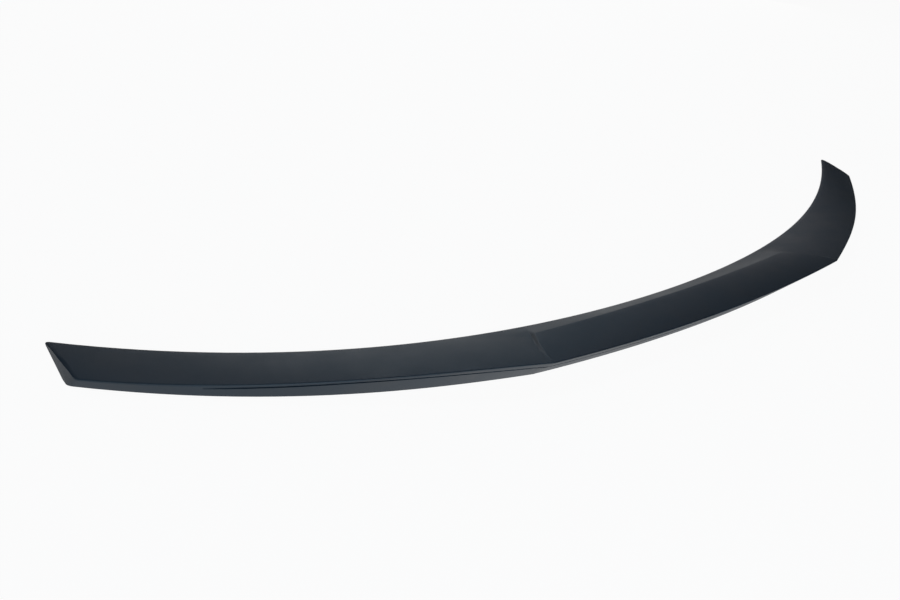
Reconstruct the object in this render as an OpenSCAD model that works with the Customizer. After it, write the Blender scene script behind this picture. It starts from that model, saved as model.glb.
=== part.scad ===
// Rear spoiler for a car's boot lid: a one-piece moulded blade, bowed in plan, with a raised centre panel.
// The blade stands on the lower edge of its rear face, in z = 0. X runs across the car, +Y towards its nose
// and +Z up. The origin is below the middle of the blade. Plan sizes along Y are counted rearwards from the
// line through the two front tips.

/* [Overall] */
// Width over the two tips
blade_w = 1200; // [1000:10:1400]
// How far the middle of the front edge lies behind its tips
bow_depth = 170; // [120:1:210]
// Part of that bow that is a plain parabola, the rest being added towards the tips
bow_parabola = 123.4; // [90:0.1:160]
// Chord of the blade at the middle
chord_mid = 83.5; // [70:0.1:100]
// Chord of the blade at the ends of the centre panel, along the car
chord_corner = 87; // [75:0.1:100]
// Chord of the blade at the tips, along the car
chord_tip = 57.8; // [48:0.1:66]

/* [Front edge] */
// Height of the front edge's top at the middle
front_h_mid = 4.6; // [4:0.1:8]
// Height of the front edge's top at the tips
front_h_tip = 16.1; // [14:0.1:20]
// Thickness of the front edge
edge_t = 2; // [1.4:0.1:2.6]
// How far the top of the front edge leans back over it
edge_lean = 0.7; // [0.3:0.1:1]
// Width of the strip along the front edge in which the skin rolls down to it
front_roll_w = 6; // [3:0.5:10]
// How much higher the skin stands behind that strip than a plain skin would
front_roll_h = 0.5; // [0.2:0.1:1]

/* [Trailing edge] */
// Height of the trailing edge at the middle
lip_h_mid = 24.5; // [20:0.1:34]
// Height of the trailing edge at the ends of the centre panel
lip_h_corner = 28.4; // [22:0.1:36]
// Height of the trailing edge at the tips
lip_h_tip = 10.5; // [8:0.1:13]
// Sweep of a wing's trailing edge where it leaves the panel
lip_sweep_corner = 19.8; // [10:0.1:26]
// Sweep of a wing's trailing edge at the tip
lip_sweep_tip = 36.9; // [30:0.1:44]
// How far inboard of the front tip the trailing edge ends
tip_rake = 6.5; // [3:0.1:12]
// Radius of the trailing edge
lip_r = 2.4; // [1.5:0.1:3]

/* [Centre panel] */
// Width of the panel at the trailing edge
panel_w = 472; // [380:2:540]
// How much narrower the panel is at its crest, on each side
panel_taper = 29; // [15:1:40]
// Share of the chord that the ramp in front of the panel takes
crest_share = 0.35; // [0.28:0.01:0.42]
// Height of the crest at the middle
crest_h_mid = 23.2; // [20:0.1:28]
// Height of the crest at the panel's ends
crest_h_end = 19.7; // [17:0.1:24]
// Rounding of the crest, to each side of it
crest_round = 1.2; // [0.8:0.1:4]
// How far the panel's skin bulges above a straight line
panel_crown = 1.2; // [0:0.1:2.5]
// How far the panel's ends bow outwards
end_bow = 4; // [0:0.5:8]
// Width of the slope that ends the panel
end_slope_w = 5; // [4:0.5:14]
// How many times wider that slope is along the front edge
front_spread = 5; // [1:0.5:8]

/* [Wings] */
// How far a wing's skin bulges above a straight line beside the panel
crown_corner = 3; // [1:0.1:4]
// How far a wing's skin bulges above a straight line at the tip
crown_tip = 2; // [0.5:0.1:3]

/* [Rear face] */
// How far the face's lower edge lies in front of the trailing edge at the middle
undercut_mid = 19.5; // [12:0.1:24]
// The same at the ends of the centre panel
undercut_corner = 25.2; // [12:0.1:28]
// The same at the tips
undercut_tip = 8.8; // [4:0.1:12]
// Sweep of the face's lower edge where it leaves the panel
foot_sweep_corner = 14; // [8:0.1:22]
// Sweep of the face's lower edge at the tip
foot_sweep_tip = 39.3; // [32:0.1:44]
// How much further out than the trailing edge an end face is at its foot
end_lean = 4.5; // [2:0.1:8]
// Rounding of the end faces' edges
end_round = 4; // [1.5:0.1:4.5]
// Rounding of the face's lower edge
foot_round = 1; // [0.6:0.1:1.6]

/* [Hidden side] */
// Wall of the moulding
wall_t = 3; // [2:0.1:3.6]
// Width of the bonding land behind the front edge
land_w = 12; // [9:0.5:16]
// Width of the foot flange under the rear face
foot_w = 8; // [6:0.5:10]
// Thickness of the foot flange
foot_t = 2.5; // [2:0.1:3.2]
// Thickness of an end wall
end_wall_t = 5; // [5:0.5:8]
// Spacing of the cross ribs
rib_pitch = 75; // [50:5:120]
// Thickness of a rib at its free edge
rib_t = 1.6; // [1.2:0.1:2]
// How much thicker a rib is at its root
rib_draft = 0.8; // [0.4:0.1:1.4]
// How far the ribs stand back from the lands
rib_set_back = 1.5; // [1:0.1:3]

/* [Hidden] */

half_w = blade_w / 2;
corner_x = panel_w / 2;
// The panel's end line meets the front edge here, so that the crest's end lies on it
end_front_x = corner_x - panel_taper / (1 - crest_share);
blade_depth = bow_depth + chord_mid;

// Stations from the middle to a tip: the panel's half, the slope at its end, the wing and the rounded end face
mid_stations = 16;
slope_steps = 4;
wing_stations = 26;
end_steps = 4;
wing_len = half_w - end_front_x;
slope_end = end_slope_w / wing_len;
round_start = 1 - end_round / wing_len;
core_end = 1 - end_wall_t / wing_len;
slope_w = [for (i = [1:slope_steps]) slope_end * i / slope_steps];
wing_w = [for (i = [1:wing_stations - 1]) lerp(slope_end, round_start, i / wing_stations)];
core_w = [for (i = [1:wing_stations - 1]) lerp(slope_end, core_end, i / wing_stations)];

// Points along the front roll, the ramp, the panel and the trailing edge's rounding
roll_steps = 3;
ramp_steps = 3;
panel_steps = 8;
nose_steps = 6;

// How much of the trailing edge's fall is eased, and the powers by which the bow of the panel's ends fades
// over the panel and over the wing
lip_ease = 0.8;
bow_fade_panel = 6;
bow_fade_wing = 12;
// Share of the wing over which the points about the crest part
crest_fade = 0.2;
// The end's rounding takes no point further than this share of its way to the middle of its ring
end_round_share = 0.45;

function lerp(a, b, t) = a + (b - a) * t;
function ease(t) = t * t * (3 - 2 * t);
function arch(t) = 4 * t * (1 - t);
function towards(p, q, d) = p + (q - p) * d / norm(q - p);
function bezier(a, b, c, t) = lerp(lerp(a, b, t), lerp(b, c, t), t);
function hermite(a, b, slope_a, slope_b, t) =
    lerp(a, b, ease(t)) + slope_a * t * pow(1 - t, 2) - slope_b * t * t * (1 - t);

// Front edge, counted from the tips' line: a parabola with a fourth-power share
function front_rise(x) =
    let (u = pow(x / half_w, 2))
    (bow_parabola * u + (bow_depth - bow_parabola) * u * u) / bow_depth;
function front_y(x) = -bow_depth * (1 - front_rise(x));
function front_point(x) = [x, front_y(x), lerp(front_h_mid, front_h_tip, front_rise(x))];

// A station is [c, w]: c runs from 0 to 1 over the panel's half, then w from 0 to 1 over the wing
function front_at(c, w) = front_point(w == 0 ? c * end_front_x : lerp(end_front_x, half_w, w));

corner_y = front_y(end_front_x) - chord_corner;
foot_corner_y = corner_y + undercut_corner;
tip_x = half_w - tip_rake;
foot_tip_x = tip_x + end_lean;

// A guiding curve behind the front edge: a parabola over the panel, then a swept cubic over the wing
function guide_y(c, w, y_mid, y_corner, y_tip, x_tip, sweep_corner, sweep_tip) =
    w == 0
        ? lerp(y_mid, y_corner, c * c)
        : let (run = x_tip - corner_x)
          hermite(y_corner, y_tip, run * tan(sweep_corner), run * tan(sweep_tip), w);
function guide_x(c, w, x_tip) = w == 0 ? c * corner_x : lerp(corner_x, x_tip, w);
function lip_h(c, w) =
    w == 0 ? lerp(lip_h_mid, lip_h_corner, c * c) : lerp(lip_h_corner, lip_h_tip, lerp(w, ease(w), lip_ease));
function lip_at(c, w) = [
    guide_x(c, w, tip_x),
    guide_y(c, w, -blade_depth, corner_y, -chord_tip, tip_x, lip_sweep_corner, lip_sweep_tip),
    lip_h(c, w)
];
function foot_at(c, w) = [
    guide_x(c, w, foot_tip_x),
    guide_y(c, w, undercut_mid - blade_depth, foot_corner_y, undercut_tip - chord_tip,
            foot_tip_x, foot_sweep_corner, foot_sweep_tip),
    0
];

// How much of the panel's section a station has at share v of the chord: all of it over the panel, and none
// past the slope, which is wider along the front edge than from the crest on
function slope_spread(v) = lerp(front_spread, 1, min(1, v / crest_share));
function panel_part(w, v) = w == 0 ? 1 : 1 - ease(min(1, w / slope_end / slope_spread(v)));
function crest_h(c) = lerp(crest_h_mid, crest_h_end, c * c);
function crown(w) = lerp(crown_corner, crown_tip, w);

// What the roll along the front edge adds to the skin: all of it behind the strip, and none from the crest on
function front_roll(reach, v) =
    front_roll_h * (1 - pow(1 - min(1, reach / front_roll_w), 2)) * max(0, 1 - v / crest_share);

// A point of the skin at share v of the chord, dropped by a wall's thickness for the inner side
function skin_h(f, t, c, w, v) =
    let (
        wing_h = lerp(f.z, t.z, v) + crown(w) * arch(v),
        on_ramp = v < crest_share,
        q = on_ramp ? v / crest_share : (v - crest_share) / (1 - crest_share),
        panel_h = on_ramp ? lerp(f.z, crest_h(c), q) : lerp(crest_h(c), t.z, q) + panel_crown * arch(q)
    )
    lerp(wing_h, panel_h, panel_part(w, v)) + front_roll(v * norm(t - f), v);
function end_bulge(c, w, v) =
    let (q = max(0, (v - crest_share) / (1 - crest_share)))
    end_bow * arch(q) * (w == 0 ? pow(c, bow_fade_panel) : pow(1 - w, bow_fade_wing));
function skin_at(c, w, v, drop = 0) =
    let (f = front_at(c, w), t = lip_at(c, w), p = lerp(f, t, v))
    [p.x + end_bulge(c, w, v), p.y, skin_h(f, t, c, w, v) - drop];

// Shares of the chord at which the skin has points: evenly over ramp and panel, and close about the crest,
// though on the wings, which have no crest, they part again
function crest_gap(w) = lerp(crest_round, chord_tip / panel_steps / 2, min(1, w / crest_fade));
function skin_shares(c, w, first, last) =
    let (d = crest_gap(w) / norm(lip_at(c, w) - front_at(c, w)))
    [
        for (i = [0:ramp_steps - 1]) lerp(first, crest_share - d, i / ramp_steps),
        crest_share - d,
        crest_share + d,
        for (i = [1:panel_steps]) lerp(crest_share + d, last, i / panel_steps)
    ];

// Section of the filled blade, from under the front edge, over the skin and down the rear face
function body_ring(c, w) =
    let (
        f = front_at(c, w),
        t = lip_at(c, w),
        b = foot_at(c, w),
        chord = norm(t - f),
        inward = (t - f) / chord * edge_lean,
        nose_in = skin_at(c, w, 1 - lip_r / chord),
        nose_out = towards(t, b, lip_r),
        forward = [f.x - b.x, f.y - b.y, 0],
        under = [b.x, b.y, 0] + forward / norm(forward) * foot_w
    )
    [
        [f.x + inward.x, f.y + inward.y, f.z - edge_t],
        [f.x, f.y, f.z - edge_t / 2],
        for (i = [0:roll_steps - 1]) skin_at(c, w, lerp(edge_lean, front_roll_w, i / roll_steps) / chord),
        for (v = skin_shares(c, w, front_roll_w / chord, 1 - lip_r / chord)) skin_at(c, w, v),
        for (i = [1:nose_steps]) bezier(nose_in, t, nose_out, i / nose_steps),
        towards(b, t, foot_round),
        towards(b, under, foot_round),
        under
    ];

// The core reaches this far below the foot, so that the blade is open there
core_reach = 8;
// A skin that slopes is dropped a little more than its wall, and the core stops short of the undercut face
slope_factor = 1.08;
rear_factor = 2.5;

// Section of the core that hollows the blade from below
function core_ring(c, w) =
    let (
        f = front_at(c, w),
        t = lip_at(c, w),
        b = foot_at(c, w),
        chord = norm(t - f),
        drop = wall_t * slope_factor,
        first = land_w / chord,
        last = 1 - rear_factor * wall_t / chord,
        forward = [f.x - b.x, f.y - b.y, 0],
        dir = forward / norm(forward),
        top_front = skin_at(c, w, first, drop),
        shares = skin_shares(c, w, first, last),
        wall_foot = [b.x, b.y, foot_t] + dir * (wall_t + foot_t / 2),
        flange = [b.x, b.y, 0] + dir * foot_w
    )
    [
        [top_front.x, top_front.y, -core_reach],
        for (v = shares) skin_at(c, w, v, drop),
        wall_foot,
        [flange.x, flange.y, foot_t],
        [flange.x, flange.y, -core_reach]
    ];

function mirrored(ring) = [for (p = ring) [-p.x, p.y, p.z]];
function centre_of(ring) = [for (k = [0:2]) [for (p = ring) p[k]] * [for (p = ring) 1] / len(ring)];
// Draws a ring in towards its centre, but leaves the height of what lies below the centre, such as the foot
function shrunk(ring, d) =
    let (m = centre_of(ring))
    [
        for (p = ring)
            let (q = towards(p, m, min(d, end_round_share * norm(m - p))))
            [q.x, q.y, p.z < m.z ? p.z : q.z]
    ];

// Skins a row of rings, each with as many points, into one closed solid
module loft(rings) {
    n = len(rings[0]);
    last = len(rings) - 1;
    caps = [centre_of(rings[0]), centre_of(rings[last])];
    points = [for (ring = rings, p = ring) p];
    first_cap = len(points);
    faces = [
        for (k = [0:last - 1], i = [0:n - 1])
            let (a = k * n + i, b = k * n + (i + 1) % n)
            each [[a, b + n, b], [a, a + n, b + n]],
        for (i = [0:n - 1]) [first_cap, i, (i + 1) % n],
        for (i = [0:n - 1]) [first_cap + 1, last * n + (i + 1) % n, last * n + i]
    ];
    polyhedron(concat(points, caps), faces, convexity = 6);
}

module both_ways(half_rings) {
    count = len(half_rings);
    loft([
        for (i = [count - 1:-1:1]) mirrored(half_rings[i]),
        for (ring = half_rings) ring
    ]);
}

// A ring of the end's rounding, which runs through a quarter turn from the skin to the flat end face
function end_ring(turn) = shrunk(body_ring(1, lerp(round_start, 1, sin(turn))), end_round * (1 - cos(turn)));

module filled_blade() {
    both_ways([
        for (i = [0:mid_stations]) body_ring(i / mid_stations, 0),
        for (w = slope_w) body_ring(1, w),
        for (w = wing_w) body_ring(1, w),
        for (i = [0:end_steps]) end_ring(90 * i / end_steps)
    ]);
}

module core() {
    both_ways([
        for (i = [0:mid_stations]) core_ring(i / mid_stations, 0),
        for (w = slope_w) core_ring(1, w),
        for (w = core_w) core_ring(1, w),
        core_ring(1, core_end)
    ]);
}

// The foot of the rear face at a place along the car's width
function foot_beside(x) =
    let (a = abs(x))
    a < corner_x ? foot_at(a / corner_x, 0) : foot_at(1, (a - corner_x) / (foot_tip_x - corner_x));

// A cross rib, thicker at its root in the skin than at its free edge
rib_root_h = max(lip_h_mid, lip_h_corner, crest_h_mid, front_h_tip) + core_reach;
// A rib's root starts this far behind the foot, past the rear face; only what lies in the core stays
rib_overrun = 2 * max(undercut_mid, undercut_corner);
// Thickness of the slivers between which a rib is stretched
sliver = 0.1;
module rib(x) {
    front = front_point(x);
    rear_y = foot_beside(x).y;
    root_y = rear_y - rib_overrun;
    hull() {
        translate([x - rib_t / 2, front.y, front.z - edge_t + rib_set_back])
            cube([rib_t, sliver, sliver]);
        translate([x - rib_t / 2, rear_y, rib_set_back])
            cube([rib_t, sliver, sliver]);
        translate([x - (rib_t + rib_draft) / 2, root_y, rib_root_h])
            cube([rib_t + rib_draft, front.y - root_y, sliver]);
    }
}

// The outermost points along the car, between which the blade is centred on the origin
front_reach = max([for (i = [0:end_steps], p = end_ring(90 * i / end_steps)) p.y]);
rear_reach = min([for (p = body_ring(0, 0)) p.y]);

module spoiler_blade() {
    rib_count = floor((half_w - end_wall_t - rib_pitch / 2) / rib_pitch);
    color([0.1, 0.135, 0.17])
        translate([0, -(front_reach + rear_reach) / 2, 0])
            difference() {
                filled_blade();
                difference() {
                    core();
                    for (i = [-rib_count:rib_count])
                        rib(i * rib_pitch);
                }
            }
}

spoiler_blade();
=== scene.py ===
"""Looks of the boot-lid spoiler: a satin blue-black moulding on a white floor in soft studio light."""
import math

import bmesh
import bpy
from mathutils import Matrix, Vector


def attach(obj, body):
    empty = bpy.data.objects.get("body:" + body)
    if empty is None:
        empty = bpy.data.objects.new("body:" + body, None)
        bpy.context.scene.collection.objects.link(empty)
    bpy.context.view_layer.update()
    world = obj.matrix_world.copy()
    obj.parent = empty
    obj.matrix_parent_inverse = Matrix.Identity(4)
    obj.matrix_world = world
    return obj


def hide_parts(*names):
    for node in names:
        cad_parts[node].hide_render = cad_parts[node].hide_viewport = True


# Camera, as solved from the photograph's symmetric outlines. Its place, axes and reach are in the frame's
# metres, and its lens and sensor are in millimetres
CAMERA_PLACE = (-0.76248, -0.55000, 0.45785)
CAMERA_RIGHT = (0.78330, -0.60885, 0.12544)
CAMERA_FORWARD = (0.58193, 0.64721, -0.49241)
CAMERA_LENS = 35.86
CAMERA_SENSOR = 36.0
CAMERA_REACH = 100

# The moulding's surface: points nearer than the weld are one, and edges sharper than the angle stay sharp
BLADE_NODE = "spoiler_blade"
WELD_DISTANCE = 0.000005
SMOOTH_ANGLE = 0.48
NORMAL_WEIGHT = 60

# The moulding's finish. The grain is the mould's fine texture, in metres. The mottle is the slow change of
# colour and roughness over the surface, each by its share of the plain value or its step from it
PLASTIC_COLOR = (0.007, 0.017, 0.027)
PLASTIC_ROUGHNESS = 0.55
PLASTIC_SPECULAR = 0.5
GRAIN_SIZE = 0.0005
GRAIN_DEPTH = 0.00006
GRAIN_STRENGTH = 0.6
GRAIN_DETAIL = 2
MOTTLE_SIZE = 0.035
MOTTLE_DETAIL = 4
MOTTLE_LOW = 0.3
MOTTLE_HIGH = 0.7
MOTTLE_COLOR_SHARE = 0.14
MOTTLE_ROUGHNESS_STEP = 0.03

# The shadow line is a fine groove on the rear face. It runs level below the lip over the panel, rises towards
# it along the wings, and fades out before the tips. The drop is from the lip's roll to the line's middle
PANEL_END = 0.236
LINE_DROP = 0.008
LINE_DROP_LEAST = 0.0012
LINE_RISE = 3
LINE_TALL = 0.0018
LINE_DEPTH = 0.0012
LINE_END = 0.52
LINE_FADE = 0.04

# A face belongs to the rear face where its normal points at least this far back and down. An edge runs down
# the rear face where one end is higher than the other by more than the least
REAR_FACE_BACK = -0.55
REAR_FACE_DOWN = -0.15
REAR_FACE_LEAST = 0.004

# Floor and world. Both are white to the camera. The blade's sheen shows the white floor and the dim world,
# because a white world would wash its black out to grey
FLOOR_HALF = 15.0
FLOOR_COLOR = (0.86, 0.86, 0.86)
FLOOR_GLOW = 0.95
WORLD_GREY = 0.08
WORLD_WHITE = 1.0

# Each lamp stands on a dome round the blade: azimuth from the car's nose towards its right-hand side, and
# elevation, both in degrees, the side of its square and its watts in red, green and blue
LAMP_DISTANCE = 2.2
LAMPS = {
    "front_high": (10, 32, 0.6, (2.3, 2.4, 2.6)),
    "front_low": (25, 18, 0.6, (2.0, 2.3, 2.6)),
    "front_right_high": (40, 32, 0.6, (0.1, 0.6, 1.1)),
    "right_low": (55, 18, 0.6, (0.5, 0.5, 0.6)),
    "right_rim": (55, 6, 0.6, (0.8, 0.75, 0.7)),
    "overhead": (-20, 66, 0.6, (4.8, 5.2, 5.9)),
    "behind_camera": (210, 15, 0.9, (17.0, 22.0, 26.5)),
}


def new_material(name):
    """A material with an empty node tree."""
    material = bpy.data.materials.new(name)
    material.use_nodes = True
    material.node_tree.nodes.clear()
    return material, material.node_tree


def add(tree, kind, **values):
    """A new node of the tree, with its settings."""
    node = tree.nodes.new(kind)
    for key, value in values.items():
        setattr(node, key, value)
    return node


def noise(tree, place, size, detail):
    """Noise whose blots measure about the size given, in metres."""
    node = add(tree, "ShaderNodeTexNoise")
    node.inputs["Scale"].default_value = 1 / size
    node.inputs["Detail"].default_value = detail
    tree.links.new(place, node.inputs["Vector"])
    return node.outputs["Fac"]


def mottled_color(tree, mottle):
    """The plastic's colour, a little darker where the mottle is low and lighter where it is high."""
    node = add(tree, "ShaderNodeValToRGB")
    low, high = node.color_ramp.elements
    low.position = MOTTLE_LOW
    low.color = (*[c * (1 - MOTTLE_COLOR_SHARE) for c in PLASTIC_COLOR], 1)
    high.position = MOTTLE_HIGH
    high.color = (*[c * (1 + MOTTLE_COLOR_SHARE) for c in PLASTIC_COLOR], 1)
    tree.links.new(mottle, node.inputs["Fac"])
    return node.outputs["Color"]


def mottled_roughness(tree, mottle):
    """The plastic's roughness, a little smoother where the mottle is low and rougher where it is high."""
    node = add(tree, "ShaderNodeMapRange")
    node.inputs["From Min"].default_value = MOTTLE_LOW
    node.inputs["From Max"].default_value = MOTTLE_HIGH
    node.inputs["To Min"].default_value = PLASTIC_ROUGHNESS - MOTTLE_ROUGHNESS_STEP
    node.inputs["To Max"].default_value = PLASTIC_ROUGHNESS + MOTTLE_ROUGHNESS_STEP
    tree.links.new(mottle, node.inputs["Value"])
    return node.outputs["Result"]


def grained_normal(tree, grain):
    """The surface's direction, with the mould's fine texture on it."""
    node = add(tree, "ShaderNodeBump")
    node.inputs["Distance"].default_value = GRAIN_DEPTH
    node.inputs["Strength"].default_value = GRAIN_STRENGTH
    tree.links.new(grain, node.inputs["Height"])
    return node.outputs["Normal"]


def satin_plastic():
    """Moulded plastic with a fine grain, and a finish that varies a little over the surface."""
    material, tree = new_material("satin_blue_black_plastic")
    output = add(tree, "ShaderNodeOutputMaterial")
    shader = add(tree, "ShaderNodeBsdfPrincipled")
    shader.inputs["Specular IOR Level"].default_value = PLASTIC_SPECULAR
    place = add(tree, "ShaderNodeTexCoord").outputs["Object"]
    mottle = noise(tree, place, MOTTLE_SIZE, MOTTLE_DETAIL)
    grain = noise(tree, place, GRAIN_SIZE, GRAIN_DETAIL)
    tree.links.new(mottled_color(tree, mottle), shader.inputs["Base Color"])
    tree.links.new(mottled_roughness(tree, mottle), shader.inputs["Roughness"])
    tree.links.new(grained_normal(tree, grain), shader.inputs["Normal"])
    tree.links.new(shader.outputs["BSDF"], output.inputs["Surface"])
    return material


def seen_by(tree, first, *others):
    """1 for the kinds of ray that are named, else 0."""
    path = add(tree, "ShaderNodeLightPath")
    seen = path.outputs[first]
    for other in others:
        larger = add(tree, "ShaderNodeMath", operation="MAXIMUM")
        tree.links.new(seen, larger.inputs[0])
        tree.links.new(path.outputs[other], larger.inputs[1])
        seen = larger.outputs["Value"]
    return seen


def white_floor_material():
    """A pale floor that shows as white, with the object's shadow left faint on it."""
    material, tree = new_material("white_floor")
    link = tree.links.new
    output = add(tree, "ShaderNodeOutputMaterial")
    matte = add(tree, "ShaderNodeBsdfDiffuse")
    matte.inputs["Color"].default_value = (*FLOOR_COLOR, 1)
    glow = add(tree, "ShaderNodeEmission")
    mix = add(tree, "ShaderNodeMixShader")
    share = add(tree, "ShaderNodeMath", operation="MULTIPLY")
    share.inputs[1].default_value = FLOOR_GLOW
    link(seen_by(tree, "Is Camera Ray", "Is Glossy Ray", "Is Transmission Ray"), share.inputs[0])
    link(share.outputs["Value"], mix.inputs["Fac"])
    link(matte.outputs["BSDF"], mix.inputs[1])
    link(glow.outputs["Emission"], mix.inputs[2])
    link(mix.outputs["Shader"], output.inputs["Surface"])
    return material


def make_floor():
    """A wide flat floor under the blade."""
    mesh = bpy.data.meshes.new("floor")
    corners = [(x * FLOOR_HALF, y * FLOOR_HALF, 0) for x, y in ((-1, -1), (1, -1), (1, 1), (-1, 1))]
    mesh.from_pydata(corners, [], [(0, 1, 2, 3)])
    mesh.materials.append(white_floor_material())
    floor = bpy.data.objects.new("floor", mesh)
    bpy.context.scene.collection.objects.link(floor)


def even_background(tree, strength):
    """One plain level all round."""
    shader = add(tree, "ShaderNodeBackground")
    shader.inputs["Color"].default_value = (1, 1, 1, 1)
    shader.inputs["Strength"].default_value = strength
    return shader.outputs["Background"]


def make_world():
    """White as seen by the camera, and dim for the light that falls on the blade and shows in its sheen."""
    world = bpy.data.worlds.new("studio")
    bpy.context.scene.world = world
    world.use_nodes = True
    tree = world.node_tree
    tree.nodes.clear()
    output = add(tree, "ShaderNodeOutputWorld")
    mix = add(tree, "ShaderNodeMixShader")
    tree.links.new(seen_by(tree, "Is Camera Ray", "Is Transmission Ray"), mix.inputs["Fac"])
    tree.links.new(even_background(tree, WORLD_GREY), mix.inputs[1])
    tree.links.new(even_background(tree, WORLD_WHITE), mix.inputs[2])
    tree.links.new(mix.outputs["Shader"], output.inputs["Surface"])


def make_lamp(name, azimuth, elevation, side, watts):
    """A square soft light that looks at the blade. Its tint is in its watts in red, green and blue."""
    data = bpy.data.lights.new(name, "AREA")
    data.shape = "SQUARE"
    data.size = side
    data.energy = max(watts)
    data.color = [w / max(watts) for w in watts]
    lamp = bpy.data.objects.new(name, data)
    around, up = math.radians(azimuth), math.radians(elevation)
    level = math.cos(up)
    outward = Vector((level * math.sin(around), level * math.cos(around), math.sin(up)))
    lamp.location = outward * LAMP_DISTANCE
    lamp.rotation_euler = (-outward).to_track_quat("-Z", "Y").to_euler()
    bpy.context.scene.collection.objects.link(lamp)


def make_camera():
    """The photograph's camera."""
    data = bpy.data.cameras.new("photo_camera")
    data.lens = CAMERA_LENS
    data.sensor_width = CAMERA_SENSOR
    data.sensor_fit = "HORIZONTAL"
    data.clip_end = CAMERA_REACH
    camera = bpy.data.objects.new("photo_camera", data)
    bpy.context.scene.collection.objects.link(camera)
    forward = Vector(CAMERA_FORWARD).normalized()
    right = Vector(CAMERA_RIGHT).normalized()
    axes = Matrix((right, right.cross(forward), -forward)).transposed()
    camera.matrix_world = Matrix.Translation(CAMERA_PLACE) @ axes.to_4x4()
    bpy.context.scene.camera = camera


def on_rear_face(face):
    """Whether a face is part of the rear face, which leans forward under the lip."""
    return face.normal.y < REAR_FACE_BACK and face.normal.z < REAR_FACE_DOWN


def runs_down(edge):
    """Whether an edge runs down the rear face, within the shadow line's reach."""
    one, other = (v.co for v in edge.verts)
    return abs(one.z - other.z) > REAR_FACE_LEAST and max(abs(one.x), abs(other.x)) < LINE_END


def rear_face_edges(form):
    """The edges that run down the rear face, in an order that never changes."""
    form.edges.index_update()
    edges = {e for f in form.faces if on_rear_face(f) for e in f.edges if runs_down(e)}
    return sorted(edges, key=lambda e: e.index)


def line_drop(x, half):
    """How far the shadow line's middle lies below the lip's roll, at a place across the blade."""
    share = min(1, (half - abs(x)) / (half - PANEL_END))
    return max(LINE_DROP_LEAST, LINE_DROP * share ** LINE_RISE)


def line_depth(x):
    """How deep the shadow line is, at a place across the blade."""
    return LINE_DEPTH * min(1, (LINE_END - abs(x)) / LINE_FADE)


def cut_shadow_line(form):
    """Cuts two rows of points into the rear face and sinks the faces between them."""
    half = max(v.co.x for v in form.verts)
    lower_row = []
    upper_row = []
    for edge in rear_face_edges(form):
        bottom, top = sorted(edge.verts, key=lambda v: v.co.z)
        drop = line_drop(top.co.x, half)
        to_lower = drop + LINE_TALL / 2
        to_upper = drop - LINE_TALL / 2
        _, lower = bmesh.utils.edge_split(edge, top, to_lower / (top.co.z - bottom.co.z))
        _, upper = bmesh.utils.edge_split(form.edges.get((top, lower)), top, to_upper / to_lower)
        lower_row.append(lower)
        upper_row.append(upper)
    for row in lower_row, upper_row:
        bmesh.ops.connect_verts(form, verts=row)
    cut = {*lower_row, *upper_row}
    band = [f for f in form.faces if all(v in cut for v in f.verts)]
    grown = bmesh.ops.extrude_face_region(form, geom=band)
    # What is left of the old band would lie inside the surface
    bmesh.ops.delete(form, geom=[f for f in band if f.is_valid], context="FACES")
    form.normal_update()
    for vert in grown["geom"]:
        if isinstance(vert, bmesh.types.BMVert):
            vert.co -= vert.normal * line_depth(vert.co.x)


def make_blade(cad):
    """The moulding: the solid's own faces, welded, with the shadow line, smooth but for the sharp edges."""
    mesh = bpy.data.meshes.new("moulded_blade")
    points = [v.co[:] for v in cad.data.vertices]
    mesh.from_pydata(points, [], [p.vertices[:] for p in cad.data.polygons])
    form = bmesh.new()
    form.from_mesh(mesh)
    bmesh.ops.remove_doubles(form, verts=form.verts, dist=WELD_DISTANCE)
    form.normal_update()
    cut_shadow_line(form)
    form.to_mesh(mesh)
    form.free()
    mesh.shade_smooth()
    mesh.set_sharp_from_angle(angle=SMOOTH_ANGLE)
    mesh.materials.append(satin_plastic())
    piece = bpy.data.objects.new("moulded_blade", mesh)
    bpy.context.scene.collection.objects.link(piece)
    even = piece.modifiers.new("even_normals", "WEIGHTED_NORMAL")
    even.keep_sharp = True
    even.weight = NORMAL_WEIGHT
    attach(piece, "root")
    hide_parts(BLADE_NODE)


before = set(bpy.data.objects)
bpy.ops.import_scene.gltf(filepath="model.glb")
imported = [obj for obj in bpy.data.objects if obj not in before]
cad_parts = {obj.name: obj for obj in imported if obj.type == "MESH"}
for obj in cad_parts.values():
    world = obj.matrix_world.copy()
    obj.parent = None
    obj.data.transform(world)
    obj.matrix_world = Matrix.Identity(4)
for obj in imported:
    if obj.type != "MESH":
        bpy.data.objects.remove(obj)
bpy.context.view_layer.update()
bpy.context.scene.view_settings.view_transform = "Standard"
make_camera()
make_world()
make_floor()
for lamp_name, setting in LAMPS.items():
    make_lamp(lamp_name, *setting)
make_blade(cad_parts[BLADE_NODE])
